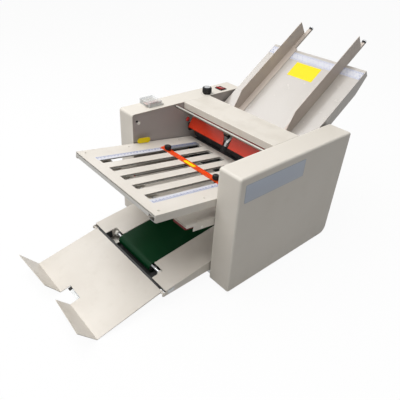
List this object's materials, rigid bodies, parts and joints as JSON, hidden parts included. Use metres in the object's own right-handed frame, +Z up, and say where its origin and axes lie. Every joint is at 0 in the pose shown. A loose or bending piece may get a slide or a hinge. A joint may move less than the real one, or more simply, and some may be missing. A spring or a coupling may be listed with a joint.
{
  "type": "paper folding machine",
  "caption": "Tabletop buckle folder with slatted fold plates, geared rollers, sloping feed tray, belt conveyor and hinged catch tray.",
  "frame": {"origin": "middle of the outer box, on the surface that the feet stand on", "axes": "+X along the rollers to the machine's right, -Y towards the delivery tray, +Z up"},
  "size_m": [0.486, 1.0154, 0.55],
  "materials": {
    "cover_paint": "fine textured cream enamel",
    "sheet_paint": "smooth cream enamel on folded sheet",
    "guide_paint": "brown-grey enamel",
    "grey_paint": "satin grey enamel",
    "plated_steel": "zinc-plated sheet",
    "ground_steel": "ground and plated bar",
    "orange_paint": "gloss orange enamel",
    "red_paint": "gloss red enamel",
    "roller_rubber": "ground rubber",
    "gear_nylon": "moulded nylon",
    "bearing_brass": "sintered bronze",
    "motor_steel": "black enamel",
    "drive_belt": "toothed drive belt",
    "green_belt": "glossy dark green conveyor belting",
    "foot_rubber": "moulded rubber",
    "guard_acrylic": "clear red-orange sheet",
    "lid_acrylic": "clear moulding",
    "black_plastic": "moulded, fine grain",
    "case_plastic": "moulded case",
    "red_plastic": "moulded rocker",
    "button_plastic": "moulded button"
  },
  "bodies": {
    "root": {"side_frame_left": "grey_paint", "side_frame_right": "grey_paint", "base_plate": "plated_steel", "cross_rods": "ground_steel", "left_cover": "cover_paint", "right_cover": "cover_paint", "rubber_feet": "foot_rubber", "roller_bushes": "bearing_brass", "separator_block": "plated_steel", "drive_motor": "motor_steel", "timing_belt": "drive_belt", "upper_fold_plate": "sheet_paint", "upper_plate_underside": "grey_paint", "lower_fold_plate": "sheet_paint", "rear_fold_plate_upper": "sheet_paint", "rear_fold_plate_lower": "sheet_paint", "delivery_bed": "sheet_paint", "conveyor_belt": "green_belt", "feed_tray": "sheet_paint", "counter_body": "case_plastic", "switch_bezel": "black_plastic", "power_inlet": "black_plastic"},
    "roller_1": {"fold_roller_1": "roller_rubber", "roller_gear_1": "gear_nylon"},
    "roller_2": {"fold_roller_2": "roller_rubber", "roller_gear_2": "gear_nylon"},
    "roller_3": {"fold_roller_3": "roller_rubber", "roller_gear_3": "gear_nylon"},
    "roller_4": {"fold_roller_4": "roller_rubber", "roller_gear_4": "gear_nylon", "driven_pulley": "plated_steel"},
    "roller_5": {"fold_roller_5": "roller_rubber", "roller_gear_5": "gear_nylon"},
    "roller_6": {"fold_roller_6": "roller_rubber", "roller_gear_6": "gear_nylon"},
    "feed": {"feed_roller": "roller_rubber", "feed_gear": "gear_nylon"},
    "conveyor_drive": {"conveyor_roller_rear": "ground_steel", "conveyor_pulley": "plated_steel"},
    "conveyor_idler": {"conveyor_roller_front": "ground_steel"},
    "motor_shaft": {"motor_pulley": "plated_steel"},
    "upper_stop": {"upper_stop_bar": "orange_paint"},
    "upper_knob_left": {"stop_knob_left": "black_plastic"},
    "upper_knob_right": {"stop_knob_right": "black_plastic"},
    "lower_stop": {"lower_stop_bar": "red_paint"},
    "lower_knob": {"lower_stop_knob": "black_plastic"},
    "rear_stop_upper": {"rear_stop_bar_upper": "orange_paint"},
    "rear_stop_lower": {"rear_stop_bar_lower": "red_paint"},
    "separator_screw": {"separator_knob": "black_plastic"},
    "guard": {"finger_guard": "guard_acrylic"},
    "lid": {"top_cover": "cover_paint"},
    "catch_tray": {"receiving_tray": "sheet_paint"},
    "guide_left": {"paper_guide_left": "guide_paint"},
    "guide_right": {"paper_guide_right": "guide_paint"},
    "guide_screw_left": {"guide_knob_left": "black_plastic"},
    "guide_screw_right": {"guide_knob_right": "black_plastic"},
    "counter_lid": {"counter_cover": "lid_acrylic"},
    "counter_button": {"reset_button": "button_plastic"},
    "dial": {"speed_knob": "black_plastic"},
    "rocker": {"rocker_switch": "red_plastic"}
  },
  "joints": [
    {"name": "roller_1_spin", "type": "hinge", "parent": "root", "child": "roller_1", "pos_m": [0, 0.10199, 0.24069], "axis": [1, 0, 0], "continuous": true},
    {"name": "roller_2_spin", "type": "hinge", "parent": "root", "child": "roller_2", "pos_m": [0, 0.09741, 0.21073], "axis": [1, 0, 0], "continuous": true},
    {"name": "roller_3_spin", "type": "hinge", "parent": "root", "child": "roller_3", "pos_m": [0, 0.07794, 0.18752], "axis": [1, 0, 0], "continuous": true},
    {"name": "roller_4_spin", "type": "hinge", "parent": "root", "child": "roller_4", "pos_m": [0, 0.07335, 0.15757], "axis": [1, 0, 0], "continuous": true},
    {"name": "roller_5_spin", "type": "hinge", "parent": "root", "child": "roller_5", "pos_m": [0, 0.05387, 0.13436], "axis": [1, 0, 0], "continuous": true},
    {"name": "roller_6_spin", "type": "hinge", "parent": "root", "child": "roller_6", "pos_m": [0, 0.06172, 0.10509], "axis": [1, 0, 0], "continuous": true},
    {"name": "feed_spin", "type": "hinge", "parent": "root", "child": "feed", "pos_m": [0, 0.14615, 0.25082], "axis": [1, 0, 0], "continuous": true},
    {"name": "conveyor_spin", "type": "hinge", "parent": "root", "child": "conveyor_drive", "pos_m": [0, 0.02517, 0.06952], "axis": [1, 0, 0], "continuous": true},
    {"name": "front_roller_spin", "type": "hinge", "parent": "root", "child": "conveyor_idler", "pos_m": [0, -0.24591, 0.0372], "axis": [1, 0, 0], "continuous": true},
    {"name": "motor_spin", "type": "hinge", "parent": "root", "child": "motor_shaft", "pos_m": [0, 0.10394, 0.047], "axis": [1, 0, 0], "continuous": true},
    {"name": "upper_stop_slide", "type": "slide", "parent": "root", "child": "upper_stop", "axis": [0, 0.9885, -0.1513], "range_m": [-0.204, 0.11]},
    {"name": "stop_knob_left_turn", "type": "hinge", "parent": "upper_stop", "child": "upper_knob_left", "pos_m": [-0.1, -0.07283, 0.25515], "axis": [0, 0.1513, 0.9885], "range_deg": [-180, 180]},
    {"name": "stop_knob_right_turn", "type": "hinge", "parent": "upper_stop", "child": "upper_knob_right", "pos_m": [0.1, -0.07283, 0.25515], "axis": [0, 0.1513, 0.9885], "range_deg": [-180, 180]},
    {"name": "lower_stop_slide", "type": "slide", "parent": "root", "child": "lower_stop", "axis": [0, 0.9885, -0.1513], "range_m": [-0.004, 0.2]},
    {"name": "lower_knob_turn", "type": "hinge", "parent": "lower_stop", "child": "lower_knob", "pos_m": [0, -0.19376, 0.21681], "axis": [0, 0.1513, 0.9885], "range_deg": [-180, 180]},
    {"name": "rear_stop_upper_slide", "type": "slide", "parent": "root", "child": "rear_stop_upper", "axis": [0, 0.766, -0.6428], "range_m": [-0.11, 0.02]},
    {"name": "rear_stop_lower_slide", "type": "slide", "parent": "root", "child": "rear_stop_lower", "axis": [0, 0.766, -0.6428], "range_m": [-0.06, 0.016]},
    {"name": "separator_knob_turn", "type": "hinge", "parent": "root", "child": "separator_screw", "pos_m": [0.0095, 0.04612, 0.27944], "axis": [0, -0.4695, -0.8829], "range_deg": [-180, 180]},
    {"name": "guard_lift", "type": "hinge", "parent": "root", "child": "guard", "pos_m": [0, 0.07194, 0.328], "axis": [-1, 0, 0], "range_deg": [0, 45]},
    {"name": "top_cover_lift", "type": "hinge", "parent": "root", "child": "lid", "pos_m": [0, 0.13894, 0.341], "axis": [-1, 0, 0], "range_deg": [0, 80]},
    {"name": "receiving_tray_lift", "type": "hinge", "parent": "root", "child": "catch_tray", "pos_m": [0, -0.28406, 0.0385], "axis": [-1, 0, 0], "range_deg": [0, 60]},
    {"name": "guide_left_slide", "type": "slide", "parent": "root", "child": "guide_left", "axis": [1, 0, 0], "range_m": [-0.055, 0.04]},
    {"name": "guide_right_slide", "type": "slide", "parent": "root", "child": "guide_right", "axis": [1, 0, 0], "range_m": [-0.04, 0.055]},
    {"name": "guide_knob_left_turn", "type": "hinge", "parent": "guide_left", "child": "guide_screw_left", "pos_m": [-0.096, 0.49729, 0.52411], "axis": [0, 0.8131, 0.5821], "range_deg": [-180, 180]},
    {"name": "guide_knob_right_turn", "type": "hinge", "parent": "guide_right", "child": "guide_screw_right", "pos_m": [0.096, 0.49729, 0.52411], "axis": [0, 0.8131, 0.5821], "range_deg": [-180, 180]},
    {"name": "counter_cover_lift", "type": "hinge", "parent": "root", "child": "counter_lid", "pos_m": [-0.214, -0.02276, 0.3533], "axis": [-1, 0, 0], "range_deg": [0, 100]},
    {"name": "reset_button_press", "type": "slide", "parent": "root", "child": "counter_button", "axis": [0, 0, -1], "range_m": [0, 0.0015], "stiffness_N_per_m": 300, "springref_m": -0.0005},
    {"name": "speed_knob_turn", "type": "hinge", "parent": "root", "child": "dial", "pos_m": [-0.192, 0.14994, 0.35], "axis": [0, 0, 1], "range_deg": [-135, 135]},
    {"name": "rocker_tilt", "type": "hinge", "parent": "root", "child": "rocker", "pos_m": [-0.201, 0.21794, 0.35], "axis": [0, 1, 0], "range_deg": [0, 16]}
  ],
  "couplings": [
    {"joint": "roller_2_spin", "follows": "roller_1_spin", "ratio": -1},
    {"joint": "roller_3_spin", "follows": "roller_1_spin", "ratio": 1},
    {"joint": "roller_4_spin", "follows": "roller_1_spin", "ratio": -1},
    {"joint": "roller_5_spin", "follows": "roller_1_spin", "ratio": 1},
    {"joint": "roller_6_spin", "follows": "roller_1_spin", "ratio": -1},
    {"joint": "feed_spin", "follows": "roller_1_spin", "ratio": -0.5},
    {"joint": "conveyor_spin", "follows": "roller_1_spin", "ratio": -1.25},
    {"joint": "front_roller_spin", "follows": "roller_1_spin", "ratio": -1.25},
    {"joint": "motor_spin", "follows": "roller_1_spin", "ratio": -2}
  ]
}
